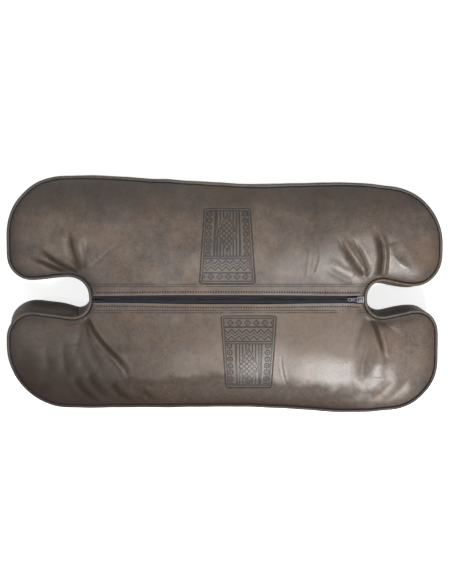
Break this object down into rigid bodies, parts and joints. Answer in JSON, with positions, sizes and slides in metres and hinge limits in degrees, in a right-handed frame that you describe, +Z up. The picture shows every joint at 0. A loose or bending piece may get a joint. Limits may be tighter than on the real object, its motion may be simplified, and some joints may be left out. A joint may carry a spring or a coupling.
{
  "type": "boxed seat cushion",
  "caption": "Boxed and stuffed leather seat cushion with piped edges, a rounded notch in each short end and a zip along the middle of its underside.",
  "frame": {"origin": "on the floor, under the middle of the cushion as it lies on its seat side with the zip up", "axes": "+X along the length, towards the end where the closed zip's slider rests; +Y to the rear long edge, the one with the seam in its side wall; +Z up, from the seat side to the zip side"},
  "size_m": [0.665, 0.3648, 0.117],
  "materials": {
    "leather": "satin",
    "welt_leather": "satin",
    "zip_tape": "matte",
    "zip_coil": "satin",
    "slider_metal": "satin",
    "ticking": "matte",
    "filling": "matte"
  },
  "bodies": {
    "cushion": {"zip_panel_rear": "leather", "zip_panel_front": "leather", "seat_panel": "leather", "rear_band_left": "leather", "rear_band_right": "leather", "front_band": "leather", "root_band_left": "leather", "root_band_right": "leather", "zip_side_welt": "welt_leather", "seat_side_welt": "welt_leather", "zip_tape_rear": "zip_tape", "zip_tape_front": "zip_tape", "zip_coil_rear": "zip_coil", "zip_coil_front": "zip_coil", "insert_case": "ticking", "insert_filling": "filling"},
    "slider": {"zip_slider": "slider_metal"},
    "tab": {"pull_tab": "slider_metal"}
  },
  "joints": [
    {"name": "zip_slide", "type": "slide", "parent": "cushion", "child": "slider", "axis": [-1, 0, 0], "range_m": [0, 0.388], "deforming": ["zip_coil_rear", "zip_coil_front"]},
    {"name": "tab_hinge", "type": "hinge", "parent": "slider", "child": "tab", "pos_m": [0.20215, -0.00704, 0.10835], "axis": [0, 1, 0], "range_deg": [0, 170]}
  ]
}
